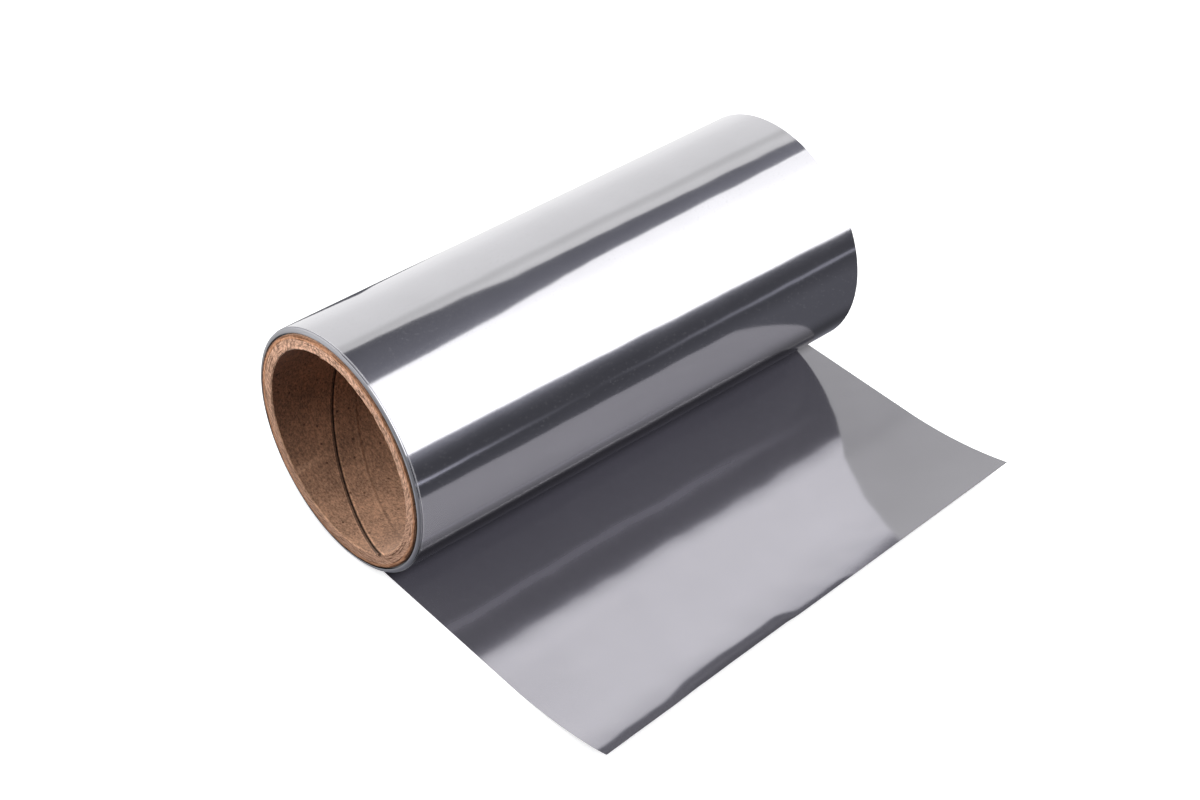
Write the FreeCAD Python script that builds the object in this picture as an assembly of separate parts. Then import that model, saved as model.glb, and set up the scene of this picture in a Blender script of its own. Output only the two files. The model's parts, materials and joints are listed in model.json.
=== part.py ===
import FreeCAD, Part
import math
import os

# Cake collar roll: glossy plastic film wound on a spiral-wound paper core, with its free end
# drawn off the underside and left lying in front of the roll.
# Millimetres, +Z up. The origin is the middle of the core's bore axis, which runs along X.
# The end of the roll where the core stands proud faces -X, and the free end points to -Y.

# Core: kraft paper strips wound in a spiral and glued into one tube
CORE_BORE = 76.2            # diameter, to take a three-inch winding shaft
CORE_WALL = 5.4
CORE_LENGTH = 204.0
CORE_EDGE_BREAK = 0.4       # corner crushed where the saw parted the tube, inside and out
PLY_THICKNESS = 0.45        # innermost paper strip, and so the depth of its seam
PLY_WIDTH = 75.2            # innermost paper strip, square across
SEAM_GAP = 0.6              # open joint between two winds of that strip
SEAM_START = 235.7          # degrees round from +Y towards +Z at the -X end

# Film: one web, each turn lying on the turn below it
FILM_THICKNESS = 0.15
FILM_WIDTH = 203.2
FILM_TURNS = 16
FILM_ON_CORE = 0.05         # clearance between the innermost turn and the core

# Where the -X edges of the turns lie, measured inwards from the -X end of the core
STEADY_TURNS = 2            # turns wound edge on edge before the web wanders sideways
RIM_SETBACK = 0.6           # most of the turns
EDGE_WANDER = 0.12          # side-to-side wander of those turns
WANDER_STEP = 2.4           # radians of that wander from one set of steady turns to the next
FIRST_TURNS = 4             # turns nearest the core, wound a little further in
FIRST_SETBACK = 1.7
LAST_SETBACK = 1.5          # the outermost turns, slipped towards +X

# Free end: leaves the roll at its lowest line, lies flat on the ground and curls up at the front
TAIL_DRIFT = 3.4            # further slip of the web from the roll's top to its lowest line
TAIL_LENGTH = 139.0         # along the -X edge, from the lowest line of the roll
TAIL_SKEW = 1.76            # degrees that the free end turns towards -X
TAIL_CUT = 5.6              # degrees that the cut runs back towards the roll at the +X side
CURL_START = 86.0           # from the lowest line of the roll, at the -X edge
CURL_RADIUS = 177.0         # underside of the curl
CURL_SKEW = 3.1             # degrees between the axis of the curl and the axis of the roll

# The wound film is a spiral drawn as four arcs a turn. Their centres are the corners of a small
# square, and each arc's radius is smaller than the last by the side of that square.
QUARTERS = 4
SQUARE_CORNERS = ((-0.5, -0.5), (0.5, -0.5), (0.5, 0.5), (-0.5, 0.5))

# Worked out from the sizes above
CORE_RADIUS = CORE_BORE / 2 + CORE_WALL
NEAR_END = -CORE_LENGTH / 2
SQUARE_SIDE = FILM_THICKNESS / QUARTERS
WOUND_INSIDE = CORE_RADIUS + FILM_ON_CORE
WOUND_OUTSIDE = WOUND_INSIDE + FILM_TURNS * FILM_THICKNESS
GROUND = -WOUND_OUTSIDE - SQUARE_SIDE / 2
LAST_EDGE = NEAR_END + LAST_SETBACK
STEADY_SETS = (FILM_TURNS - FIRST_TURNS) // STEADY_TURNS
TAIL_ROOT = FreeCAD.Vector(LAST_EDGE + TAIL_DRIFT, -SQUARE_SIDE / 2, GROUND)
MARGIN = 10.0               # how far a blank or a cutter reaches past the finished shape

ORIGIN = FreeCAD.Vector(0, 0, 0)
X_AXIS = FreeCAD.Vector(1, 0, 0)
Y_AXIS = FreeCAD.Vector(0, 1, 0)
Z_AXIS = FreeCAD.Vector(0, 0, 1)


def flat_face(corners):
    """Face inside the straight lines that join the corners in turn."""
    return Part.Face(Part.makePolygon(corners + corners[:1]))


# ---- Core ----

def tube():
    """Paper tube with its four end corners broken, turned about the X axis."""
    bore = CORE_BORE / 2
    far_end = NEAR_END + CORE_LENGTH
    corners = [
        (NEAR_END, bore + CORE_EDGE_BREAK),
        (NEAR_END, CORE_RADIUS - CORE_EDGE_BREAK),
        (NEAR_END + CORE_EDGE_BREAK, CORE_RADIUS),
        (far_end - CORE_EDGE_BREAK, CORE_RADIUS),
        (far_end, CORE_RADIUS - CORE_EDGE_BREAK),
        (far_end, bore + CORE_EDGE_BREAK),
        (far_end - CORE_EDGE_BREAK, bore),
        (NEAR_END + CORE_EDGE_BREAK, bore),
    ]
    wall = flat_face([FreeCAD.Vector(x, radius, 0) for x, radius in corners])
    return wall.revolve(ORIGIN, X_AXIS, 360)


def seam_pitch():
    """Advance along X of one turn of the seam, for a strip wound edge to edge."""
    lead_angle = math.asin((PLY_WIDTH + SEAM_GAP) / (math.pi * CORE_BORE))
    return math.pi * CORE_BORE * math.tan(lead_angle)


def seam_cutter():
    """Open joint of the innermost strip: a right-handed helix that runs out of both ends."""
    radius = CORE_BORE / 2
    helix = Part.makeHelix(seam_pitch(), CORE_LENGTH + 2 * MARGIN, radius)
    corners = [
        FreeCAD.Vector(radius - PLY_THICKNESS, 0, -SEAM_GAP / 2),
        FreeCAD.Vector(radius + PLY_THICKNESS, 0, -SEAM_GAP / 2),
        FreeCAD.Vector(radius + PLY_THICKNESS, 0, SEAM_GAP / 2),
        FreeCAD.Vector(radius - PLY_THICKNESS, 0, SEAM_GAP / 2),
    ]
    section = Part.makePolygon(corners + corners[:1])
    cutter = Part.Wire(helix).makePipeShell([section], True, True)
    # Turned from the Z axis to the X axis, the helix starts at -Z, 90 degrees short of +Y
    cutter.rotate(ORIGIN, Y_AXIS, 90)
    turned_before_the_end = 360 * MARGIN / seam_pitch()
    cutter.rotate(ORIGIN, X_AXIS, 90 + SEAM_START - turned_before_the_end)
    cutter.translate(X_AXIS * (NEAR_END - MARGIN))
    return cutter


def core_tube():
    return tube().cut(seam_cutter())


# ---- Wound film ----

def spiral_radius(turn, quarter):
    """Radius of the outside of a quarter turn. Turns count inwards from the outermost, 0."""
    return WOUND_OUTSIDE - SQUARE_SIDE * (QUARTERS * turn + quarter)


def spiral_point(turn, quarter, fraction):
    """Point part of the way along a quarter. They run bottom, back, top, front and bottom."""
    across, up = SQUARE_CORNERS[quarter]
    centre = FreeCAD.Vector(0, across * SQUARE_SIDE, up * SQUARE_SIDE)
    angle = math.radians(90 * (quarter - 1 + fraction))
    outwards = FreeCAD.Vector(0, math.cos(angle), math.sin(angle))
    return centre + outwards * spiral_radius(turn, quarter)


def spiral_arc(turn, quarter):
    """Outside of the film over a quarter turn, as an edge."""
    start, middle, end = [spiral_point(turn, quarter, fraction) for fraction in (0, 0.5, 1)]
    return Part.Arc(start, middle, end).toShape()


def quarter_section(turn, inner_turn, quarter):
    """Cross-section of the turns from one in to another, over a quarter of the roll."""
    outside = spiral_arc(turn, quarter)
    inside = spiral_arc(inner_turn, quarter)
    start, end = [
        Part.makeLine(spiral_point(turn, quarter, side), spiral_point(inner_turn, quarter, side))
        for side in (0, 1)
    ]
    return Part.Face(Part.Wire([outside, end, inside, start]))


def first_section():
    """Cross-section of the first turns together, down to the core."""
    turn = STEADY_SETS * STEADY_TURNS
    arcs = [spiral_arc(turn, quarter) for quarter in range(QUARTERS)]
    step = Part.makeLine(spiral_point(turn, QUARTERS - 1, 1), spiral_point(turn, 0, 0))
    outside = Part.Face(Part.Wire(arcs + [step]))
    core_side = Part.Face(Part.Wire(Part.makeCircle(WOUND_INSIDE, ORIGIN, X_AXIS)))
    return outside.cut(core_side).Faces[0]


def web(section, edge):
    """A cross-section carried across the width of the film, from the X of its -X edge."""
    return section.translated(X_AXIS * edge).extrude(X_AXIS * FILM_WIDTH)


def drift_slope():
    """Slip of the web towards +X for each millimetre down the back of the roll."""
    roll_top = spiral_point(0, 1, 1).z
    return TAIL_DRIFT / (roll_top - GROUND)


def with_drift(x, y, z):
    """A point given at ground level, carried up to z along the lean of the drifting edge."""
    return FreeCAD.Vector(x - drift_slope() * (z - GROUND), y, z)


def drifting_quarters():
    """The back of the outermost turn, where the web slips sideways on its way to the ground."""
    reach = WOUND_OUTSIDE + MARGIN
    corners = [(-reach, -reach), (reach, -reach), (reach, reach), (-reach, reach)]
    edge_plane = flat_face([with_drift(TAIL_ROOT.x, y, z) for y, z in corners])
    slab = edge_plane.extrude(X_AXIS * FILM_WIDTH)
    blank_length = X_AXIS * (FILM_WIDTH + TAIL_DRIFT + 2 * MARGIN)
    sections = [quarter_section(0, 1, quarter) for quarter in (0, 1)]
    blanks = [section.translated(X_AXIS * (LAST_EDGE - MARGIN)) for section in sections]
    return [blank.extrude(blank_length).common(slab) for blank in blanks]


def outer_turns():
    """The last turns wound, which the free end runs on from."""
    under_drift = [quarter_section(1, STEADY_TURNS, quarter) for quarter in (0, 1)]
    front = [quarter_section(0, STEADY_TURNS, quarter) for quarter in (2, 3)]
    return drifting_quarters() + [web(section, LAST_EDGE) for section in under_drift + front]


def steady_turns(steady_set):
    """One set of turns that share an edge, as its four quarters."""
    turn = steady_set * STEADY_TURNS
    edge = NEAR_END + RIM_SETBACK + EDGE_WANDER * math.sin(WANDER_STEP * steady_set)
    sections = [quarter_section(turn, turn + STEADY_TURNS, quarter) for quarter in range(QUARTERS)]
    return [web(section, edge) for section in sections]


def wound_pieces():
    """The roll in pieces that meet face to face, from the outside to the core."""
    pieces = outer_turns()
    for steady_set in range(1, STEADY_SETS):
        pieces += steady_turns(steady_set)
    return pieces + [web(first_section(), NEAR_END + FIRST_SETBACK)]


# ---- Free end of the film ----

def curl_frame():
    """Ground point where the curl starts at the -X edge, its way across and its way out."""
    start = FreeCAD.Vector(LAST_EDGE, TAIL_ROOT.y - CURL_START, GROUND)
    skew = math.radians(CURL_SKEW)
    across = FreeCAD.Vector(math.cos(skew), math.sin(skew), 0)
    return start, across, across.cross(Z_AXIS)


def tail_corner(across, along):
    """Plan position of a point of the free end, given by its distances on the flat film."""
    skew = math.radians(TAIL_SKEW)
    right = FreeCAD.Vector(math.cos(skew), -math.sin(skew), 0)
    forward = FreeCAD.Vector(-math.sin(skew), -math.cos(skew), 0)
    flat = TAIL_ROOT + right * across + forward * along
    start, _, outwards = curl_frame()
    curled = max(0, (flat - start).dot(outwards))
    drawn_in = curled - CURL_RADIUS * math.sin(curled / CURL_RADIUS)
    return flat - outwards * drawn_in


def tail_sheet():
    """The free end as a sheet with no outline yet: flat ground, then the curl."""
    start, across, outwards = curl_frame()
    angle = (TAIL_LENGTH - CURL_START + MARGIN) / CURL_RADIUS
    centre = start + Z_AXIS * CURL_RADIUS
    back = start - outwards * (CURL_START + MARGIN)

    def curl_point(radius, turned):
        return centre + outwards * (radius * math.sin(turned)) - Z_AXIS * (radius * math.cos(turned))

    under, over = CURL_RADIUS, CURL_RADIUS - FILM_THICKNESS
    under_arc = Part.Arc(*[curl_point(under, angle * part) for part in (0, 0.5, 1)])
    over_arc = Part.Arc(*[curl_point(over, angle * part) for part in (0, 0.5, 1)])
    section = Part.Face(Part.Wire([
        Part.makeLine(back, start),
        under_arc.toShape(),
        Part.makeLine(curl_point(under, angle), curl_point(over, angle)),
        over_arc.toShape(),
        Part.makeLine(curl_point(over, 0), back + Z_AXIS * FILM_THICKNESS),
        Part.makeLine(back + Z_AXIS * FILM_THICKNESS, back),
    ]))
    sheet_width = FILM_WIDTH + TAIL_DRIFT + 2 * MARGIN
    return section.translated(across * -MARGIN).extrude(across * sheet_width)


def free_end():
    """The free end cut to its outline, flush with the turn that it runs on from."""
    cut_back = FILM_WIDTH * math.tan(math.radians(TAIL_CUT))
    plan = [
        TAIL_ROOT,
        tail_corner(0, TAIL_LENGTH),
        tail_corner(FILM_WIDTH, TAIL_LENGTH - cut_back),
        TAIL_ROOT + X_AXIS * FILM_WIDTH,
    ]
    floor, ceiling = GROUND - MARGIN, GROUND + TAIL_LENGTH
    base = flat_face([with_drift(point.x, point.y, floor) for point in plan])
    lean = with_drift(0, 0, ceiling) - with_drift(0, 0, floor)
    return tail_sheet().common(base.extrude(lean))


def film():
    """The whole web as one solid, from the core to its cut edge."""
    return free_end().multiFuse(wound_pieces()).Solids[0]


os.makedirs("parts", exist_ok=True)
core_tube().exportStep("parts/core_tube.step")
film().exportStep("parts/film.step")
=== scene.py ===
import json
import math

import bmesh
import bpy
from mathutils import Matrix, Vector, noise

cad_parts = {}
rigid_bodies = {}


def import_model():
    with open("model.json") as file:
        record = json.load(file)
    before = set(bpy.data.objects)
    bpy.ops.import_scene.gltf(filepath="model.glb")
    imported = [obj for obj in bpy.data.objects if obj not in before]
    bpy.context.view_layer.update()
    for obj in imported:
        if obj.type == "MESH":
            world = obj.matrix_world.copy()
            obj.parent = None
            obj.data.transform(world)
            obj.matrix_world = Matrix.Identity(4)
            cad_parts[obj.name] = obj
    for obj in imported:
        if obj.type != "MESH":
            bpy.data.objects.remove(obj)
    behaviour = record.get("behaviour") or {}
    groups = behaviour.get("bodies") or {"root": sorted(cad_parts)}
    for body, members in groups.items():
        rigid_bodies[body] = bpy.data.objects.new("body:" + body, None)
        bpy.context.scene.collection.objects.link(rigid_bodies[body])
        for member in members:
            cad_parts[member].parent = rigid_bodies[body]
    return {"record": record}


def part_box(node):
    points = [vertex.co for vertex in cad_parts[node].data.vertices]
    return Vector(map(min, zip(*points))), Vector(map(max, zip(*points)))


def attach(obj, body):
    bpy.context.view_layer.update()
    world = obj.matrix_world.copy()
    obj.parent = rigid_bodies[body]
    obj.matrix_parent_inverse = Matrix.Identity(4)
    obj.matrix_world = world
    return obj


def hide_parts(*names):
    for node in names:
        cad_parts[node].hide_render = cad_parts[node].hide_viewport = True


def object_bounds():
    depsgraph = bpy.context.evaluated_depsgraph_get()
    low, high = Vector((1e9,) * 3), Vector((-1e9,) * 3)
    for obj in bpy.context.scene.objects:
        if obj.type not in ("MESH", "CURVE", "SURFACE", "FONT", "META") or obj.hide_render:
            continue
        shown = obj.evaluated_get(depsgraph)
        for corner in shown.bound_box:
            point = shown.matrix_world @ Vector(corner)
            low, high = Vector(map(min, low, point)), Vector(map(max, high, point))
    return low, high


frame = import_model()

bl_info = {
    "name": "Cake Collar Roll",
    "version": (1, 0, 0),
    "blender": (4, 5, 0),
    "location": "View3D > Sidebar > Collar Roll",
    "description": "Builds the looks of a roll of cake collar film on its paper core",
    "category": "Add Mesh",
}

# Metres, +Z up. The bore axis of the core is the X axis, and the free end points to -Y.
# Angles round the roll run from +Y towards +Z.
MM = 0.001
TURN = 2 * math.pi
BOTTOM = -math.pi / 2

# Facets in one turn round the core and round the film
CORE_FACETS, FILM_FACETS = 192, 320

# Places in the lists of materials: the core's sawn ends and open joint, and the film's rim
SAWN_END, OPEN_JOINT, SLIT_EDGE = 1, 2, 1

# Tint of everything dark that the film mirrors
COLD_GREY = (0.97, 0.98, 1.14)

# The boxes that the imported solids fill, and the bore that a winding shaft goes in
CAD_BOX = [list(corner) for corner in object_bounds()]
CORE_LOW, CORE_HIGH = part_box("core_tube")
FILM_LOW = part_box("film")[0]
CORE_BORE = next(m for m in frame["record"]["mounts"] if m["name"] == "core_bore")


def from_hex(code):
    """Linear colour of an sRGB hex code."""
    parts = [int(code[i:i + 2], 16) / 255 for i in (0, 2, 4)]
    return tuple(c / 12.92 if c <= 0.04045 else ((c + 0.055) / 1.055) ** 2.4 for c in parts)


def scaled(tint, share):
    """A linear colour made darker or paler."""
    return [min(1, c * share) for c in tint]


def spacing(millimetres):
    """Scale of a pattern whose features lie this far apart."""
    return 1 / (millimetres * MM)


def length(name, description, default):
    return bpy.props.FloatProperty(
        name=name, description=description, default=default, min=0, precision=5,
        subtype="DISTANCE", unit="LENGTH")


def angle(name, description, degrees):
    return bpy.props.FloatProperty(
        name=name, description=description, default=math.radians(degrees),
        subtype="ANGLE", unit="ROTATION")


def colour(name, description, code):
    return bpy.props.FloatVectorProperty(
        name=name, description=description, default=from_hex(code), min=0, max=1,
        size=3, subtype="COLOR")


def amount(name, description, default):
    return bpy.props.FloatProperty(
        name=name, description=description, default=default, min=0, precision=3)


class CoreSettings(bpy.types.PropertyGroup):
    """Sizes and colours of the paper core."""

    length: length("Length", "Core from end to end", CORE_HIGH.x - CORE_LOW.x)
    diameter: length("Diameter", "Outside of the core", CORE_HIGH.z - CORE_LOW.z)
    bore: length("Bore", "Bore for the winding shaft", 2 * CORE_BORE["dims"]["r_mm"] * MM)
    edge_break: length("Edge Break", "Corner crushed by the saw", 0.4 * MM)
    ply_width: length("Ply Width", "Innermost paper strip, square across", 75.2 * MM)
    ply_thickness: length("Ply Thickness", "One paper strip", 0.45 * MM)
    seam_gap: length("Seam Gap", "Open joint between two winds of the strip", 0.6 * MM)
    seam_start: angle("Seam Start", "Place of the joint at the -X end", 235.7)
    saw_wander: length("Saw Wander", "How far the sawn end strays from flat", 0.14 * MM)
    kraft: colour("Kraft", "Face of the paper", "A07B62")
    kraft_dark: colour("Dark Kraft", "Shaded fibres and flecks", "6E4E3A")
    sawn: colour("Sawn End", "Fibres raised by the saw", "C69E86")
    glue: colour("Glue Line", "Joint between two plies on the sawn end", "6A4430")
    outer_ply: colour("Outer Ply", "Outermost paper strip on the sawn end", "BA7C50")


class FilmSettings(bpy.types.PropertyGroup):
    """Sizes and colours of the film."""

    thickness: length("Thickness", "One turn of the film", 0.15 * MM)
    width: length("Width", "Film from edge to edge", 203.2 * MM)
    turns: bpy.props.IntProperty(
        name="Turns", description="Turns of film on the core", default=16, min=3)
    first_turns: bpy.props.IntProperty(
        name="First Turns", description="Turns wound a little further in", default=4, min=1)
    on_core: length("Gap on Core", "Clearance between the core and the first turn", 0.05 * MM)
    first_setback: length("First Setback", "Edge of the first turns from the core's end", 1.7 * MM)
    rim_setback: length("Rim Setback", "Edge of most turns from the core's end", 0.6 * MM)
    last_setback: length("Last Setback", "Edge of the last two turns from the core's end", 1.5 * MM)
    edge_wander: length("Edge Wander", "Side-to-side wander of the turns", 0.12 * MM)
    drift: length("Drift", "Slip of the web from the roll's top to the ground", 3.4 * MM)
    tail_length: length("Tail Length", "Free end along its -X edge", 139.0 * MM)
    tail_skew: angle("Tail Skew", "Turn of the free end towards -X", 1.76)
    tail_cut: angle("Tail Cut", "How far the cut runs back at the +X side", 5.6)
    curl_start: length("Curl Start", "Where the curl leaves the ground", 86.0 * MM)
    curl_radius: length("Curl Radius", "Underside of the curl", 177.0 * MM)
    curl_skew: angle("Curl Skew", "Turn of the curl from the roll's axis", 3.1)
    lip_start: length("Lip Start", "Where the curl tightens, along the curl", 47.5 * MM)
    lip_radius: length("Lip Radius", "Underside of the tight lip at the cut", 45.0 * MM)
    shoulder: length("Shoulder", "How far the turns fall back towards the rim", 0.55 * MM)
    silver: colour("Wound Film", "What the turns give back together", "E3E2E6")
    # Partly painted shade: one layer gives back less than the stack, and the rest of how much
    # darker it is than the wound film, the same web, stands in for less light on the free end
    single: colour("Single Film", "What one layer gives back", "A2A1A3")
    slit: colour("Slit Edge", "Edges of the turns", "C8C8CE")


class StageSettings(bpy.types.PropertyGroup):
    """Floor, lights and camera."""

    floor_size: length("Floor Size", "Side of the floor", 12.0)
    floor: colour("Floor", "Matt white table", "F4F4F4")
    table_light: amount("Table Light", "Glow of the lit table", 0.62)
    softbox: amount("Softbox", "Brightness of the large softbox", 1.9)
    flagged: amount("Flagged Softbox", "Share of the softbox that reaches the free end", 0.32)
    key: amount("Key Light", "Brightness of the small light on the core", 6.3)
    fill: amount("Fill Light", "Brightness of the light on what is matt in the free end", 9.2)
    azimuth: angle("Azimuth", "Camera round the object", -40.6475)
    elevation: angle("Elevation", "Camera above the horizon", 38.1875)
    roll: angle("Roll", "Camera about its own axis", -0.5259)
    distance: length("Distance", "Camera to the point that it looks at", 0.8104)
    aim: bpy.props.FloatVectorProperty(
        name="Aim", description="Point that the camera looks at, from the middle of the object",
        default=(-29.94 * MM, -4.73 * MM, 14.21 * MM), precision=5, subtype="TRANSLATION",
        unit="LENGTH")
    lens: bpy.props.FloatProperty(
        name="Lens", description="Focal length in millimetres on a 36 mm sensor",
        default=71.926, min=1)


# ---- Mesh helpers ----

def radius_of(co):
    return math.hypot(co.y, co.z)


def around(co):
    """Angle of a point round the X axis, counted from the bottom of the roll."""
    return (math.atan2(co.z, co.y) - BOTTOM) % TURN


def set_radius(co, radius):
    scale = radius / radius_of(co)
    co.y *= scale
    co.z *= scale


def profile(bm, points):
    """A line through (x, radius) points in the half plane that +Y lies in."""
    verts = [bm.verts.new((x, radius, 0)) for x, radius in points]
    edges = [bm.edges.new(pair) for pair in zip(verts, verts[1:])]
    return verts + edges


def full_spin(bm, geometry, steps):
    bmesh.ops.spin(bm, geom=geometry, cent=(0, 0, 0), axis=(1, 0, 0), angle=TURN,
                   steps=steps, use_merge=True)


def open_loops(bm):
    """The open edges of a mesh."""
    return [edge for edge in bm.edges if edge.is_boundary]


def add_object(name, bm, materials):
    """An object in the scene, made of a bmesh that is then let go."""
    mesh = bpy.data.meshes.new(name)
    bm.to_mesh(mesh)
    bm.free()
    for material in materials:
        mesh.materials.append(material)
    made = bpy.data.objects.new(name, mesh)
    bpy.context.scene.collection.objects.link(made)
    return made


def add_piece(name, bm, nodes, materials, sharp=30):
    """Makes a finished piece of a bmesh: smooth faces that meet in crisp edges."""
    for edge in bm.edges:
        edge.smooth = len(edge.link_faces) == 2 and edge.calc_face_angle() < math.radians(sharp)
    for face in bm.faces:
        face.smooth = True
    piece = add_object(name, bm, materials)
    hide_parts(*nodes)
    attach(piece, "root")


# ---- Material helpers ----

def add_node(tree, kind, settings=None, links=None):
    """Adds a shader node. Settings name its properties or inputs, or give a ramp's stops of
    (position, colour or grey). Links name what feeds an input: a node, for its first output, or
    (node, output). A Mix node's names repeat, so its colours are inputs 6 and 7 and output 2."""
    node = tree.nodes.new("ShaderNode" + kind)
    for name, value in (settings or {}).items():
        if name == "stops":
            elements = node.color_ramp.elements
            for _ in value[2:]:
                elements.new(1)
            for element, (position, tint) in zip(elements, value):
                element.position = position
                element.color = (*((tint,) * 3 if isinstance(tint, (int, float)) else tint), 1)
        elif isinstance(name, str) and hasattr(node, name):
            setattr(node, name, value)
        else:
            node.inputs[name].default_value = value
    for name, source in (links or {}).items():
        source, output = source if isinstance(source, tuple) else (source, 0)
        tree.links.new(source.outputs[output], node.inputs[name])
    return node


def new_material(name):
    """An empty material and its tree."""
    material = bpy.data.materials.new(name)
    material.use_nodes = True
    material.node_tree.nodes.clear()
    return material, material.node_tree


def unrolled(tree):
    """Object coordinates with the roll laid out flat: along X, round the roll, and outwards."""
    place = add_node(tree, "TexCoord")
    parts = add_node(tree, "SeparateXYZ", links={0: (place, "Object")})
    back = add_node(tree, "Math", {"operation": "MULTIPLY", 1: -1.0}, {0: (parts, "Y")})
    turned = add_node(tree, "Math", {"operation": "ARCTAN2"}, {0: back, 1: (parts, "Z")})
    flat = add_node(tree, "CombineXYZ", links={"X": (parts, "Y"), "Y": (parts, "Z")})
    radius = add_node(tree, "VectorMath", {"operation": "LENGTH"}, {0: flat})
    arc = add_node(tree, "Math", {"operation": "MULTIPLY"}, {0: turned, 1: (radius, "Value")})
    laid = add_node(tree, "CombineXYZ", links={"X": (parts, "X"), "Y": arc, "Z": (radius, "Value")})
    return laid, turned, radius, parts


# ---- Materials ----

# Painted shade where the film lies in the gap between the roll and the table: axis, darkest, full,
# share kept
ROLL_PAINTED_SHADE = ("Z", -21.5 * MM, -8.5 * MM, 0.12)
FREE_END_PAINTED_SHADE = ("Y", -17 * MM, -25 * MM, 0.25)


def film_material(name, tint, shade, clear=0.0, gloss=(0.085, 0.125), edge=-1.0, crease=1.0):
    """Metallised polyester film, cast, stretched and vapour-coated: it gives a soft-edged mirror
    with a cold silver tint, slack waves across the web and a little handling haze.

    Painted shade darkens it towards the gap between the roll and the table. shade holds the axis to
    follow, the place where it is darkest, the place where it is full again, and the share kept at
    the darkest. clear is the share that shows as matt grey film and not as a mirror, and gloss is
    the least and the most roughness. edge is the X of a slit edge, and crease is the Y of a scuffed
    band. Both lie far off the piece unless they are given."""
    material, tree = new_material(name)
    place = add_node(tree, "TexCoord")
    # Haze left by handling, in clouds about 30 mm across
    haze = add_node(tree, "TexNoise", {"Scale": spacing(30), "Detail": 5.0},
                    {"Vector": (place, "Object")})
    cloudy = add_node(tree, "ValToRGB",
                      {"stops": [(0.3, scaled(tint, 0.965)), (0.7, scaled(tint, 1.02))]},
                      {"Fac": haze})
    parts = add_node(tree, "SeparateXYZ", links={0: (place, "Object")})
    # Painted shade: the colour darkens towards the gap between the roll and the table
    axis, start, end, least = shade
    depth = add_node(tree, "MapRange",
                     {"interpolation_type": "SMOOTHSTEP", "From Min": start, "From Max": end,
                      "To Min": least}, {"Value": (parts, axis)})
    base = add_node(tree, "VectorMath", {"operation": "SCALE"}, {0: cloudy, "Scale": depth})
    # Dust and pinholes: specks about 0.5 mm across that scatter light
    dust = add_node(tree, "TexVoronoi", {"Scale": spacing(1.7)}, {"Vector": (place, "Object")})
    speck = add_node(tree, "ValToRGB", {"stops": [(0.10, 0.06), (0.26, 0.0)]}, {"Fac": dust})
    # The slit edge at x = edge scatters light too, drawn 0.3 mm wide
    slit = add_node(tree, "MapRange",
                    {"From Min": edge + 0.1 * MM, "From Max": edge + 0.45 * MM, "To Min": 0.55,
                     "To Max": 0.0}, {"Value": (parts, "X")})
    # A scuffed band runs along the roll at y = crease, up to 8.4 mm wide and not quite straight,
    # and fades out towards +X
    swerve = add_node(tree, "Math", {"operation": "MULTIPLY_ADD", 1: 8 * MM, 2: -crease}, {0: haze})
    across = add_node(tree, "Math", {"operation": "ADD"}, {0: (parts, "Y"), 1: swerve})
    apart = add_node(tree, "Math", {"operation": "ABSOLUTE"}, {0: across})
    scuff = add_node(tree, "MapRange",
                     {"interpolation_type": "SMOOTHSTEP", "From Max": 4.2 * MM, "To Min": 0.12,
                      "To Max": 0.0}, {"Value": apart})
    ending = add_node(tree, "MapRange",
                      {"From Min": 10 * MM, "From Max": 80 * MM, "To Min": 1.0, "To Max": 0.0},
                      {"Value": (parts, "X")})
    band = add_node(tree, "Math", {"operation": "MULTIPLY"}, {0: scuff, 1: ending})
    worn = add_node(tree, "Math", {"operation": "MAXIMUM"}, {0: speck, 1: band})
    lost = add_node(tree, "Math", {"operation": "MAXIMUM"}, {0: worn, 1: slit})
    metal = add_node(tree, "Math", {"operation": "SUBTRACT", 0: 1.0 - clear}, {1: lost})
    polish = add_node(tree, "MapRange", {"To Min": gloss[0], "To Max": gloss[1]}, {"Value": haze})
    # Slack in the web: waves 45 mm and 12 mm long that bend reflected edges a little
    slack = add_node(tree, "TexNoise", {"Scale": spacing(45)}, {"Vector": (place, "Object")})
    wide = add_node(tree, "Bump", {"Distance": 0.00035}, {"Height": slack})
    ripple = add_node(tree, "TexNoise", {"Scale": spacing(12)}, {"Vector": (place, "Object")})
    fine = add_node(tree, "Bump", {"Distance": 0.000012}, {"Height": ripple, "Normal": wide})
    shader = add_node(tree, "BsdfPrincipled",
                      links={"Base Color": base, "Metallic": metal, "Roughness": polish,
                             "Normal": fine})
    add_node(tree, "OutputMaterial", links={"Surface": shader})
    return material


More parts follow.
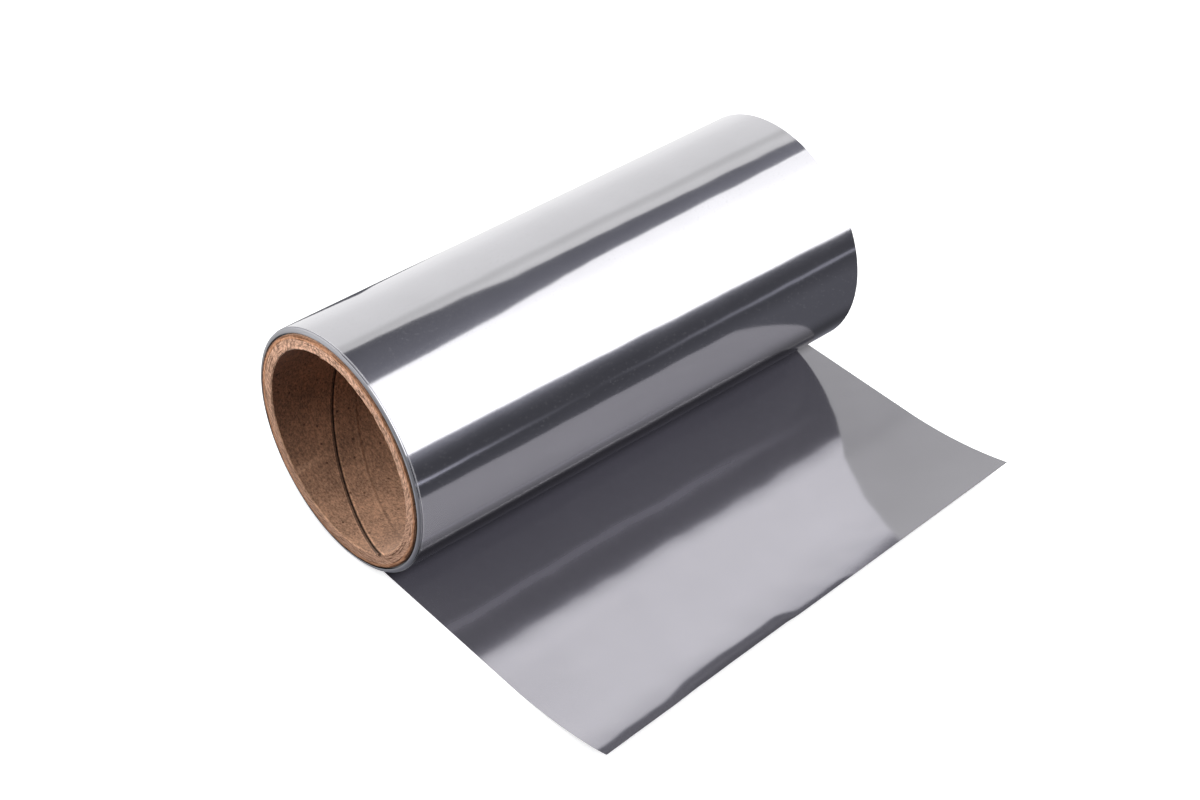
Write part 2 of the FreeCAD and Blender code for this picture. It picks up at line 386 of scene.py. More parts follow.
def slit_edge_material(name, tint, core, film):
    """Polyester film edges, slit and stacked: they scatter light, so the rim looks like frosted
    glass with fine rings. The first turns lie deeper, and painted shade darkens them, the lower
    half and the side turned away from the lights."""
    material, tree = new_material(name)
    laid, _, radius, parts = unrolled(tree)
    # Turns of 0.15 mm are too fine to show, so each ring stands for three of them
    stretch = add_node(tree, "Mapping", {"Scale": (spacing(3), spacing(60), spacing(0.45))},
                       {"Vector": laid})
    rings = add_node(tree, "TexNoise", {"Scale": 1.0}, {"Vector": stretch})
    shade = add_node(tree, "ValToRGB",
                     {"stops": [(0.30, scaled(tint, 0.85)), (0.5, tint),
                                (0.72, scaled(tint, 1.15))]}, {"Fac": rings})
    first = core.diameter / 2 + film.first_turns * film.thickness
    # Painted shade on the first turns, which lie deeper
    depth = add_node(tree, "MapRange",
                     {"From Min": first - 0.25 * MM, "From Max": first + 0.1 * MM, "To Min": 0.3},
                     {"Value": (radius, "Value")})
    # Painted shade: less light gets to the lower half
    low = add_node(tree, "MapRange",
                   {"From Min": -0.5 * core.diameter, "From Max": 0.3 * core.diameter,
                    "To Min": 0.55}, {"Value": (parts, "Z")})
    # and painted shade on the side that is turned away from the lights
    away = add_node(tree, "MapRange",
                    {"From Min": 0.1 * core.diameter, "From Max": 0.4 * core.diameter,
                     "To Min": 1.0, "To Max": 0.6}, {"Value": (parts, "Y")})
    painted_side_shade = add_node(tree, "Math", {"operation": "MULTIPLY"}, {0: low, 1: away})
    kept = add_node(tree, "Math", {"operation": "MULTIPLY"}, {0: depth, 1: painted_side_shade})
    deep = add_node(tree, "VectorMath", {"operation": "SCALE"}, {0: shade, "Scale": kept})
    bump = add_node(tree, "Bump", {"Strength": 0.5, "Distance": 0.00005}, {"Height": rings})
    shader = add_node(tree, "BsdfPrincipled", {"Metallic": 0.6, "Roughness": 0.3, "IOR": 1.57},
                      {"Base Color": deep, "Normal": bump})
    add_node(tree, "OutputMaterial", links={"Surface": shader})
    return material


def winding(core):
    """Lead angle and pitch of the innermost strip, wound edge to edge but for its open joint."""
    lead = math.asin((core.ply_width + core.seam_gap) / (math.pi * core.bore))
    return lead, math.pi * core.bore * math.tan(lead)


def kraft_material(name, core):
    """Kraft paperboard, wound in a spiral: matt brown, mottled with short fibres and flecked with
    bark. The edges of the open joint roll down into it, drawn with painted shade on one side and a
    painted highlight on the other, and the next ply's joint shows faintly through."""
    material, tree = new_material(name)
    laid, turned, _, parts = unrolled(tree)
    lead, pitch = winding(core)
    # Short fibres matted together: mottling about 0.6 mm across, a little longer round the core
    along = add_node(tree, "Mapping",
                     {"Rotation": (0, 0, lead),
                      "Scale": (spacing(0.6), spacing(0.9), spacing(0.6))}, {"Vector": laid})
    matted = add_node(tree, "TexNoise", {"Scale": 1.0, "Detail": 3.0, "Roughness": 0.65},
                      {"Vector": along})
    # Clouds in the pulp, about 12 mm across
    clouds = add_node(tree, "TexNoise", {"Scale": spacing(12), "Detail": 4.0}, {"Vector": laid})
    soft = add_node(tree, "Math", {"operation": "MULTIPLY", 1: 0.25}, {0: clouds})
    total = add_node(tree, "Math", {"operation": "MULTIPLY_ADD", 1: 0.75}, {0: matted, 2: soft})
    paper = add_node(tree, "ValToRGB",
                     {"stops": [(0.37, scaled(core.kraft, 0.52)), (0.50, core.kraft),
                                (0.63, scaled(core.kraft, 1.55))]}, {"Fac": total})
    # Flecks of bark about 0.8 mm across and 11 mm apart
    bark = add_node(tree, "TexVoronoi", {"voronoi_dimensions": "2D", "Scale": spacing(11)},
                    {"Vector": laid})
    fleck = add_node(tree, "ValToRGB", {"stops": [(0.025, 0.85), (0.055, 0.0)]}, {"Fac": bark})
    flecked = add_node(tree, "Mix", {"data_type": "RGBA", 7: (*scaled(core.kraft_dark, 0.5), 1)},
                       {0: fleck, 6: paper})
    # A joint lies at one place along X, less the climb of the winding up to that angle
    climb = add_node(tree, "Math", {"operation": "MULTIPLY", 1: -pitch / TURN}, {0: turned})
    phase = add_node(tree, "Math", {"operation": "ADD"}, {0: (parts, "X"), 1: climb})
    # The strip's edges roll down into its open joint, drawn as painted shade on one side and a
    # painted highlight on the other
    opened = add_node(tree, "Math", {"operation": "SUBTRACT", 1: seam_phase(core, pitch)},
                      {0: phase})
    beside = add_node(tree, "Math", {"operation": "WRAP", 1: pitch / 2, 2: -pitch / 2}, {0: opened})
    spread = add_node(tree, "MapRange", {"From Min": -1.5 * MM, "From Max": 1.5 * MM},
                      {"Value": beside})
    painted_shade_and_highlight = add_node(tree, "ValToRGB",
                      {"stops": [(0.0, 1.0), (0.10, 1.3), (0.18, 0.45), (0.62, 0.36), (0.72, 1.6),
                                 (0.95, 1.0)]}, {"Fac": spread})
    # Joint of the next ply, 10 mm further in than the open one
    first = seam_phase(core, pitch) + 10 * MM
    shifted = add_node(tree, "Math", {"operation": "SUBTRACT", 1: first}, {0: phase})
    folded = add_node(tree, "Math", {"operation": "PINGPONG", 1: pitch / 2}, {0: shifted})
    seam = add_node(tree, "MapRange",
                    {"From Min": 0.15 * MM, "From Max": 0.8 * MM, "To Min": 1.0, "To Max": 0.0},
                    {"Value": folded})
    hint = add_node(tree, "Math", {"operation": "MULTIPLY", 1: 0.25}, {0: seam})
    shaded = add_node(tree, "Mix", {"data_type": "RGBA", 7: (*core.kraft_dark, 1)},
                      {0: hint, 6: (flecked, 2)})
    jointed = add_node(tree, "VectorMath", {"operation": "MULTIPLY"}, {0: (shaded, 2), 1: painted_shade_and_highlight})
    height = add_node(tree, "Math", {"operation": "ADD"}, {0: matted, 1: seam})
    bump = add_node(tree, "Bump", {"Strength": 0.7, "Distance": 0.00015}, {"Height": height})
    shader = add_node(tree, "BsdfPrincipled",
                      {"Roughness": 0.85, "IOR": 1.45, "Specular IOR Level": 0.3,
                       "Sheen Weight": 0.15}, {"Base Color": jointed, "Normal": bump})
    add_node(tree, "OutputMaterial", links={"Surface": shader})
    return material


def torn_joint_material(name, core):
    """Kraft paperboard in the open joint of the strip: old glue and painted shade of the groove
    keep it dark.
    """
    material, tree = new_material(name)
    place = add_node(tree, "TexCoord")
    # Glue left in beads about 1.5 mm across
    beads = add_node(tree, "TexNoise", {"Scale": spacing(1.5)}, {"Vector": (place, "Object")})
    # Painted shade darkens the groove, with the glue beads showing through it
    shade = add_node(tree, "ValToRGB",
                     {"stops": [(0.35, scaled(core.kraft_dark, 0.15)),
                                (0.70, scaled(core.kraft_dark, 0.70))]}, {"Fac": beads})
    shader = add_node(tree, "BsdfPrincipled", {"Roughness": 0.8, "IOR": 1.45},
                      {"Base Color": shade})
    add_node(tree, "OutputMaterial", links={"Surface": shader})
    return material


def sawn_end_material(name, core):
    """Kraft paperboard cut square by a saw: raised pale fibres, with the glue lines of the plies
    as darker broken rings and a warmer outermost ply."""
    material, tree = new_material(name)
    laid, _, radius, parts = unrolled(tree)
    # Plies of 0.45 mm are too fine to show, so each ring stands for two of them
    wander = add_node(tree, "TexNoise", {"Scale": spacing(10), "Detail": 3.0}, {"Vector": laid})
    strayed = add_node(tree, "Math", {"operation": "MULTIPLY_ADD", 1: 0.6 * MM},
                       {0: wander, 2: (radius, "Value")})
    ring = add_node(tree, "Math", {"operation": "PINGPONG", 1: core.ply_thickness}, {0: strayed})
    line = add_node(tree, "MapRange",
                    {"From Min": 0.02 * MM, "From Max": 0.16 * MM, "To Min": 1.0, "To Max": 0.0},
                    {"Value": ring})
    # Lines break up where the saw has smeared the fibres
    sweep = add_node(tree, "Mapping", {"Scale": (spacing(10), spacing(10), spacing(1))},
                     {"Vector": laid})
    broken = add_node(tree, "TexNoise", {"Scale": 1.0}, {"Vector": sweep})
    smear = add_node(tree, "ValToRGB", {"stops": [(0.50, 0.0), (0.62, 0.9)]}, {"Fac": broken})
    drawn = add_node(tree, "Math", {"operation": "MULTIPLY"}, {0: line, 1: smear})
    # Torn fibres, in tufts about 1.4 mm across that break up finely
    fuzz = add_node(tree, "TexNoise", {"Scale": spacing(1.4), "Detail": 5.0, "Roughness": 0.8},
                    {"Vector": laid})
    paper = add_node(tree, "ValToRGB",
                     {"stops": [(0.40, scaled(core.sawn, 0.35)), (0.50, core.sawn),
                                (0.62, scaled(core.sawn, 1.6))]}, {"Fac": fuzz})
    lined = add_node(tree, "Mix", {"data_type": "RGBA", 7: (*core.glue, 1)}, {0: drawn, 6: paper})
    # The outermost ply is a warmer paper
    outer = add_node(tree, "MapRange",
                     {"From Min": core.diameter / 2 - 1.4 * MM,
                      "From Max": core.diameter / 2 - 1.0 * MM, "To Max": 0.5}, {"Value": strayed})
    warmed = add_node(tree, "Mix", {"data_type": "RGBA", 7: (*core.outer_ply, 1)},
                      {0: outer, 6: (lined, 2)})
    # The corner beside the film is torn, and painted shade from the film darkens it
    ragged = add_node(tree, "TexNoise", {"Scale": spacing(4.5), "Detail": 3.0}, {"Vector": laid})
    out = add_node(tree, "Math", {"operation": "MULTIPLY_ADD", 1: 1.8 * MM},
                   {0: ragged, 2: (radius, "Value")})
    corner = add_node(tree, "MapRange",
                      {"From Min": core.diameter / 2 + 0.15 * MM,
                       "From Max": core.diameter / 2 + 0.6 * MM, "To Max": 0.6}, {"Value": out})
    torn = add_node(tree, "Mix", {"data_type": "RGBA", 7: (*scaled(core.kraft_dark, 0.35), 1)},
                    {0: corner, 6: (warmed, 2)})
    # Painted shade darkens it towards the bottom
    low = add_node(tree, "MapRange",
                   {"From Min": -0.3 * core.diameter, "From Max": 0.48 * core.diameter,
                    "To Min": 0.48, "To Max": 0.0}, {"Value": (parts, "Z")})
    painted_low_shade = add_node(tree, "Mix", {"data_type": "RGBA", 7: (*core.kraft_dark, 1)},
                     {0: low, 6: (torn, 2)})
    sunk = add_node(tree, "Math", {"operation": "MULTIPLY_ADD", 1: 0.8}, {0: corner, 2: drawn})
    height = add_node(tree, "Math", {"operation": "MULTIPLY_ADD", 1: -1.2}, {0: sunk, 2: fuzz})
    bump = add_node(tree, "Bump", {"Distance": 0.0005}, {"Height": height})
    shader = add_node(tree, "BsdfPrincipled",
                      {"Roughness": 0.95, "IOR": 1.45, "Specular IOR Level": 0.15},
                      {"Base Color": (painted_low_shade, 2), "Normal": bump})
    add_node(tree, "OutputMaterial", links={"Surface": shader})
    return material


def table_material(name, tint, glow):
    """Opal acrylic light table: matt white, lit from below so that shadows stay faint."""
    material, tree = new_material(name)
    shader = add_node(tree, "BsdfPrincipled",
                      {"Base Color": (*tint, 1), "Roughness": 0.9, "Specular IOR Level": 0.0,
                       "Emission Color": (1, 1, 1, 1), "Emission Strength": glow})
    add_node(tree, "OutputMaterial", links={"Surface": shader})
    return material


def glowing_card_material(name, stops, run, tint=COLD_GREY):
    """Card in black, grey or white that glows: its emission is painted light standing in for light
    on a matt card, and it gives mirrors something plain to show. Its brightness follows stops of
    (share, radiance) along a run of (direction, start, end)."""
    material, tree = new_material(name)
    place = add_node(tree, "TexCoord")
    direction, start, end = run
    along = add_node(tree, "VectorMath", {"operation": "DOT_PRODUCT", 1: direction},
                     {0: (place, "Object")})
    share = add_node(tree, "MapRange", {"From Min": start, "From Max": end},
                     {"Value": (along, "Value")})
    glow = add_node(tree, "ValToRGB",
                    {"stops": [(position, scaled(tint, radiance)) for position, radiance in stops]},
                    {"Fac": share})
    shader = add_node(tree, "Emission", links={"Color": glow})
    add_node(tree, "OutputMaterial", links={"Surface": shader})
    return material


# ---- Core ----

def seam_phase(core, pitch):
    """X of the seam if it were followed back to the angle that the unrolled pattern starts at."""
    start = core.seam_start - math.pi / 2
    start = (start + math.pi) % TURN - math.pi
    return -core.length / 2 - pitch * start / TURN


def wound_bore(bm, core, pitch):
    """The innermost strip, swept up the core edge to edge with its open joint. It starts early
    and stops late, in turns, and is then cut off where the sawn ends begin."""
    bore, deep, gap = core.bore / 2, core.bore / 2 + core.ply_thickness, core.seam_gap / 2
    early, late = 1.1, 0.1
    left = -core.length / 2 - early * pitch
    strip = profile(bm, [
        (left, deep), (left + gap, deep), (left + gap, bore), (left + 2 * gap, bore),
        (left + pitch - 2 * gap, bore), (left + pitch - gap, bore), (left + pitch - gap, deep),
        (left + pitch, deep)])
    verts = [part for part in strip if isinstance(part, bmesh.types.BMVert)]
    bmesh.ops.rotate(bm, verts=verts, cent=(0, 0, 0),
                     matrix=Matrix.Rotation(core.seam_start - early * TURN, 3, "X"))
    steps = math.ceil((core.length / pitch + early + late) * CORE_FACETS)
    bmesh.ops.spin(bm, geom=strip, cent=(0, 0, 0), axis=(1, 0, 0),
                   dvec=(pitch / CORE_FACETS, 0, 0), angle=TURN * steps / CORE_FACETS,
                   steps=steps, use_merge=False)
    bmesh.ops.remove_doubles(bm, verts=bm.verts[:], dist=0.01 * MM)
    for side in (-1, 1):
        bmesh.ops.bisect_plane(
            bm, geom=bm.verts[:] + bm.edges[:] + bm.faces[:], dist=1e-7,
            plane_co=(side * (core.length / 2 - core.edge_break), 0, 0),
            plane_no=(side, 0, 0), clear_outer=True)


def sawn_end(bm, core, side):
    """Runs the wall out from the bore to the outside of the core: crushed corners and a sawn
    face that strays a little from flat, ring by ring."""
    end = side * core.length / 2
    loop = [edge for edge in open_loops(bm) if side * edge.verts[0].co.x > 0]
    outside = core.diameter / 2
    rings = [core.bore / 2 + core.edge_break]
    plies = 6
    step = (outside - core.edge_break - rings[0]) / plies
    rings += [rings[0] + step * (i + 1) for i in range(plies)]
    for number, radius in enumerate(rings):
        grown = bmesh.ops.extrude_edge_only(bm, edges=loop)["geom"]
        loop = [part for part in grown if isinstance(part, bmesh.types.BMEdge)
                and part.is_boundary]
        for vert in {v for edge in loop for v in edge.verts}:
            co = vert.co
            if number == 0:
                # The corner at the bore crumbles, in bites about 1.7 mm wide
                wild = noise.noise(Vector((0, co.y, co.z)) / (1.7 * MM) + Vector((side, 0, 0)))
                set_radius(co, radius_of(co) + core.edge_break * (1 + 1.3 * wild))
            else:
                set_radius(co, radius)
            stray = noise.noise(Vector((number, co.y / (6 * MM), co.z / (6 * MM))))
            co.x = end - side * core.saw_wander * max(0, 0.5 + stray)


def build_core(core):
    """The core: wound bore, two sawn ends and a plain outside."""
    bm = bmesh.new()
    wound_bore(bm, core, winding(core)[1])
    for face in bm.faces:
        if max(radius_of(vert.co) for vert in face.verts) > core.bore / 2 + core.ply_thickness / 2:
            face.material_index = OPEN_JOINT
    for side in (-1, 1):
        sawn_end(bm, core, side)
    ends = {face for face in bm.faces
            if all(abs(vert.co.x) > core.length / 2 - core.edge_break * 0.9 for vert in face.verts)}
    for face in ends:
        face.material_index = SAWN_END
    outside = bmesh.new()
    outside_profile = profile(outside, [
        (side * (core.length / 2 - core.edge_break), core.diameter / 2) for side in (-1, 1)])
    full_spin(outside, outside_profile, CORE_FACETS)
    mesh = bpy.data.meshes.new("core outside")
    outside.to_mesh(mesh)
    outside.free()
    bm.from_mesh(mesh)
    bpy.data.meshes.remove(mesh)
    for side in (-1, 1):
        rims = [edge for edge in open_loops(bm) if side * edge.verts[0].co.x > 0]
        bmesh.ops.bridge_loops(bm, edges=rims)
    bmesh.ops.remove_doubles(bm, verts=bm.verts[:], dist=0.005 * MM)
    bmesh.ops.recalc_face_normals(bm, faces=bm.faces[:])
    return bm


class CoreTube(bpy.types.Operator):
    """Build the paper core with its open seam and sawn ends"""

    bl_idname = "collar_roll.core_tube"
    bl_label = "Core Tube"

    def execute(self, context):
        core = context.scene.collar_core
        materials = [kraft_material("Kraft paperboard, spiral wound", core),
                     sawn_end_material("Kraft paperboard, sawn", core),
                     torn_joint_material("Kraft paperboard, torn joint", core)]
        add_piece("core_kraft", build_core(core), ["core_tube"], materials)
        return {"FINISHED"}


# ---- Wound film ----

def web_radius(film, turn, angle_up):
    """Outside of a turn, counted inwards from the outermost, at an angle from the bottom."""
    outermost = -FILM_LOW.z
    return outermost - film.thickness * (turn + angle_up / TURN)


def rim_profile(film, core):
    """The -X edges of the turns under the outermost, from the core outwards: the first turns
    further in, then the rim with a worn shoulder, then the step up to the last turns."""
    inside = core.diameter / 2 + film.on_core
    radii = [inside + film.thickness * step for step in range(film.turns)]
    first = CORE_LOW.x + film.first_setback
    rim = CORE_LOW.x + film.rim_setback - film.edge_wander
    last = CORE_LOW.x + film.last_setback
    points = [(first, radii[0]), (first, radii[film.first_turns])]
    # Each edge is drawn a hair further out than its turn begins
    rounded = [radius + film.thickness * 0.05 for radius in radii[film.first_turns:-1]]
    for step, radius in enumerate(rounded):
        part = step / (len(rounded) - 1)
        points.append((rim + film.shoulder * part ** 2.5, radius))
    return points + [(last, rounded[-1]), (last, radii[-1])]


def build_wound_turns(film, core):
    """All turns but the outermost, spun as one stepped wall and then drawn into a spiral."""
    inside = core.diameter / 2 + film.on_core
    near = rim_profile(film, core)
    far = [(x + film.width, radius) for x, radius in reversed(near)]
    bm = bmesh.new()
    points = near + far
    wall = profile(bm, points)
    bm.verts.ensure_lookup_table()
    wall.append(bm.edges.new((bm.verts[len(points) - 1], bm.verts[0])))
    full_spin(bm, wall, FILM_FACETS)
    spare = near[-1][1] - web_radius(film, 1, 0) + 0.01 * MM
    for vert in bm.verts:
        radius = radius_of(vert.co)
        if radius > inside + film.thickness / 2:
            drawn_in = spare + film.thickness * around(vert.co) / TURN
            set_radius(vert.co, radius - drawn_in)
    bmesh.ops.recalc_face_normals(bm, faces=bm.faces[:])
    for face in bm.faces:
        face.normal_update()
        if abs(face.normal.x) > 0.75:
            face.material_index = SLIT_EDGE
    return bm


class WoundTurns(bpy.types.Operator):
    """Build the wound turns under the outermost one"""

    bl_idname = "collar_roll.wound_turns"
    bl_label = "Wound Turns"

    def execute(self, context):
        film, core = context.scene.collar_film, context.scene.collar_core
        materials = [film_material("Metallised polyester film, wound", film.silver, ROLL_PAINTED_SHADE),
                     slit_edge_material("Polyester film edges, slit", film.slit, core, film)]
        add_piece("film_wound_turns", build_wound_turns(film, core), ["film"],
                  materials)
        return {"FINISHED"}


# ---- Outermost turn and free end ----

def on_the_roll(film, across, angle_up):
    """Place of a point of the outermost turn. Its edge slips sideways down the back."""
    radius = web_radius(film, 0, angle_up)
    y = radius * math.cos(BOTTOM + angle_up)
    z = radius * math.sin(BOTTOM + angle_up)
    top = web_radius(film, 0, math.pi)
    slip = 0
    if angle_up < math.pi:
        slip = film.drift * (top - z) / (top - FILM_LOW.z)
    return Vector((CORE_LOW.x + film.last_setback + slip + across, y, z))


# How far the start of the tight lip strays along the cut edge, in millimetres: (place, shift)
LIP_STRAY = [(0, 0.0), (28, 0.0), (42, -2.6), (60, -3.2), (84, -3.4), (92, 1.6), (114, 1.4),
             (122, 8.0), (204, 8.0)]


def lip_stray(across):
    """Shift of the lip's start at a place along the cut edge, counted from the -X edge."""
    for (left, low), (right, high) in zip(LIP_STRAY, LIP_STRAY[1:]):
        if across <= right * MM:
            part = (across / MM - left) / (right - left)
            return (low + (high - low) * part * part * (3 - 2 * part)) * MM
    return LIP_STRAY[-1][1] * MM


def on_the_ground(film, across, out):
    """Place of a point of the free end, out from 0 at the roll to 1 at the cut edge: laid flat,
    skewed a little, and curled up at the front."""
    root = Vector((CORE_LOW.x + film.last_setback + film.drift, 0, FILM_LOW.z))
    start = root + Vector((across, 0, 0))
    right = Vector((math.cos(film.tail_skew), -math.sin(film.tail_skew), 0))
    forward = Vector((-math.sin(film.tail_skew), -math.cos(film.tail_skew), 0))
    reach = film.tail_length - across * math.tan(film.tail_cut)
    flat = start.lerp(root + right * across + forward * reach, out)
    curl = Vector((CORE_LOW.x + film.last_setback, -film.curl_start, FILM_LOW.z))
    outwards = Vector((math.sin(film.curl_skew), -math.cos(film.curl_skew), 0))
    curled = max(0, (flat - curl).dot(outwards))
    flat -= outwards * curled
    # The lip's start wavers by up to 0.7 mm, in waves about 9 mm long
    wave = 0.7 * MM * noise.noise(Vector((across / (9 * MM), 0, 0)))
    lip = max(0, curled - film.lip_start - wave - lip_stray(across))
    turned = (curled - lip) / film.curl_radius
    flat += outwards * film.curl_radius * math.sin(turned)
    flat.z += film.curl_radius * (1 - math.cos(turned))
    more = turned + lip / film.lip_radius
    flat += outwards * film.lip_radius * (math.sin(more) - math.sin(turned))
    flat.z += film.lip_radius * (math.cos(turned) - math.cos(more))
    return flat


def build_sheet(film, columns, rows, place):
    """A sheet of film: a flat grid moved into place row by row, then given its thickness. Its
    outer side, which the ground touches, is the side that the grid ends up on."""
    bm = bmesh.new()
    bmesh.ops.create_grid(bm, x_segments=columns, y_segments=rows, size=0.5)
    for vert in bm.verts:
        vert.co = place((vert.co.x + 0.5) * film.width, vert.co.y + 0.5)
    bmesh.ops.recalc_face_normals(bm, faces=bm.faces[:])
    lowest = min(bm.faces, key=lambda face: face.calc_center_median().z)
    lowest.normal_update()
    if lowest.normal.z > 0:
        bmesh.ops.reverse_faces(bm, faces=bm.faces[:])
    bmesh.ops.solidify(bm, geom=bm.faces[:], thickness=film.thickness)
    return bm


class OutermostTurn(bpy.types.Operator):
    """Build the last turn of film, whose edge slips sideways down the back"""

    bl_idname = "collar_roll.outermost_turn"
    bl_label = "Outermost Turn"

    def execute(self, context):
        film = context.scene.collar_film
        sheet = build_sheet(film, columns=8, rows=FILM_FACETS,
                            place=lambda across, up: on_the_roll(film, across, TURN * up))
        materials = [film_material("Metallised polyester film, outermost turn", film.silver,
                                   ROLL_PAINTED_SHADE, edge=CORE_LOW.x + film.last_setback)]
        add_piece("film_outermost_turn", sheet, ["film"], materials)
        return {"FINISHED"}


class FreeEnd(bpy.types.Operator):
    """Build the free end that runs on from the outermost turn"""

    bl_idname = "collar_roll.free_end"
    bl_label = "Free End"

    def execute(self, context):
        film = context.scene.collar_film
        sheet = build_sheet(film, columns=96, rows=150,
                            place=lambda across, out: on_the_ground(film, across, out))
        # The single layer's darker colour is partly painted shade
        materials = [film_material("Metallised polyester film, single layer", film.single,
                                   FREE_END_PAINTED_SHADE, clear=0.20, gloss=(0.075, 0.11),
                                   crease=-49 * MM)]
        add_piece("film_free_end", sheet, ["film"], materials)
        return {"FINISHED"}


# ---- Stage ----

def add_to_stage(name, bm, material, hidden_from):
    """A part of the stage, which some kinds of ray pass by."""
    thing = add_object(name, bm, [material])
    for rays in hidden_from:
        setattr(thing, "visible_" + rays, False)
    return thing


def add_card(name, corners, material):
    """A flat card beside the set, which only mirrors see."""
    bm = bmesh.new()
    bm.faces.new([bm.verts.new(corner) for corner in corners])
    add_to_stage(name, bm, material, ("camera", "shadow", "diffuse"))


def add_backdrop(stage):
    """A round white wall where the floor ends, which only the camera sees."""
    bm = bmesh.new()
    radius = stage.floor_size * 0.45
    bmesh.ops.create_cone(bm, cap_ends=False, segments=64, radius1=radius, radius2=radius,
                          depth=stage.floor_size)
    white = glowing_card_material("White card, lit", [(0, 1.0), (1, 1.0)], ((0, 0, 1), -1, 1), (1, 1, 1))
    add_to_stage("backdrop", bm, white, ("glossy", "diffuse", "transmission", "shadow"))


def add_light(name, brightness, size, lower_edge, across, up, lit):
    """An area light that shines on some of the pieces only. It hangs above its lower edge."""
    across = Vector(across).normalized()
    up = Vector(up)
    up = (up - across * up.dot(across)).normalized()
    data = bpy.data.lights.new(name, "AREA")
    data.shape = "RECTANGLE"
    data.size, data.size_y = size
    data.energy = brightness * math.pi * size[0] * size[1]
    light = bpy.data.objects.new(name, data)
    bpy.context.scene.collection.objects.link(light)
    turn = Matrix((across, up, across.cross(up))).transposed().to_4x4()
    light.matrix_world = Matrix.Translation(Vector(lower_edge) + up * size[1] / 2) @ turn
    light.visible_camera = False
    receivers = bpy.data.collections.new(name + " lights")
    for piece in lit:
        receivers.objects.link(piece)
    light.light_linking.receiver_collection = receivers
    return light


def fade(light, stops):
    """Makes a softbox dimmer towards its edges: stops of (share of its height, share kept)."""
    light.data.use_nodes = True
    tree = light.data.node_tree
    tree.nodes.clear()
    spot = add_node(tree, "NewGeometry")
    parts = add_node(tree, "SeparateXYZ", links={0: (spot, "Parametric")})
    kept = add_node(tree, "ValToRGB", {"stops": stops}, {"Fac": (parts, "Y")})
    glow = add_node(tree, "Emission", links={"Color": kept})
    add_node(tree, "OutputLight", links={"Surface": glow})


def studio_world(world):
    """Soft light from strip banks that run along the roll, as a ramp from below, over the back,
    the top and the front, to below again."""
    world.use_nodes = True
    tree = world.node_tree
    tree.nodes.clear()
    place = add_node(tree, "TexCoord")
    parts = add_node(tree, "SeparateXYZ", links={0: (place, "Generated")})
    front = add_node(tree, "Math", {"operation": "MULTIPLY", 1: -1.0}, {0: (parts, "Y")})
    turned = add_node(tree, "Math", {"operation": "ARCTAN2"}, {0: front, 1: (parts, "Z")})
    share = add_node(tree, "MapRange", {"From Min": -math.pi, "From Max": math.pi},
                     {"Value": turned})
    # Brightness at each angle from the top, in degrees towards the free end
    banks = [
        (-180, 0.10), (-150, 0.30), (-128, 0.92), (-108, 1.00), (-90, 0.95), (-77, 0.86),
        (-65, 0.82), (-42, 0.78), (-37, 0.60), (-33, 0.63), (-29, 0.74), (-8, 0.70), (-4, 0.08),
        (70, 0.08), (74, 0.34), (80, 0.20), (85, 0.09), (92, 0.061), (108, 0.063), (118, 0.086),
        (124, 0.10), (180, 0.10)]
    # Whatever is dark is cold as well
    stops = [((degree + 180) / 360, grey if grey > 0.4 else scaled(COLD_GREY, grey))
             for degree, grey in banks]
    ramp = add_node(tree, "ValToRGB", {"stops": stops}, {"Fac": share})
    # The banks end beyond the ends of the roll, where the room is pale above and dark below
    ends = add_node(tree, "Math", {"operation": "ABSOLUTE"}, {0: (parts, "X")})
    beyond = add_node(tree, "MapRange", {"From Min": 0.75, "From Max": 0.95}, {"Value": ends})
    height = add_node(tree, "MapRange",
                      {"From Min": -0.1, "From Max": 0.35, "To Min": 0.04, "To Max": 0.9},
                      {"Value": (parts, "Z")})
    light = add_node(tree, "Mix", {"data_type": "RGBA"}, {0: beyond, 6: ramp, 7: height})
    back = add_node(tree, "Background", links={"Color": (light, 2)})
    add_node(tree, "OutputWorld", links={"Surface": back})


def add_camera(stage):
    """The camera, placed by its angles about the point that it looks at."""
    target = (Vector(CAD_BOX[0]) + Vector(CAD_BOX[1])) / 2 + Vector(stage.aim)
    back = Vector((math.sin(stage.azimuth) * math.cos(stage.elevation),
                   -math.cos(stage.azimuth) * math.cos(stage.elevation),
                   math.sin(stage.elevation)))
    data = bpy.data.cameras.new("Camera")
    data.sensor_width = 36
    data.lens = stage.lens
    data.clip_start, data.clip_end = 0.05, 100
    camera = bpy.data.objects.new("Camera", data)
    bpy.context.scene.collection.objects.link(camera)
    turn = (-back).to_track_quat("-Z", "Y").to_matrix()
    turn = turn @ Matrix.Rotation(stage.roll, 3, "Z")
    camera.matrix_world = Matrix.Translation(target + back * stage.distance) @ turn.to_4x4()
    bpy.context.scene.camera = camera


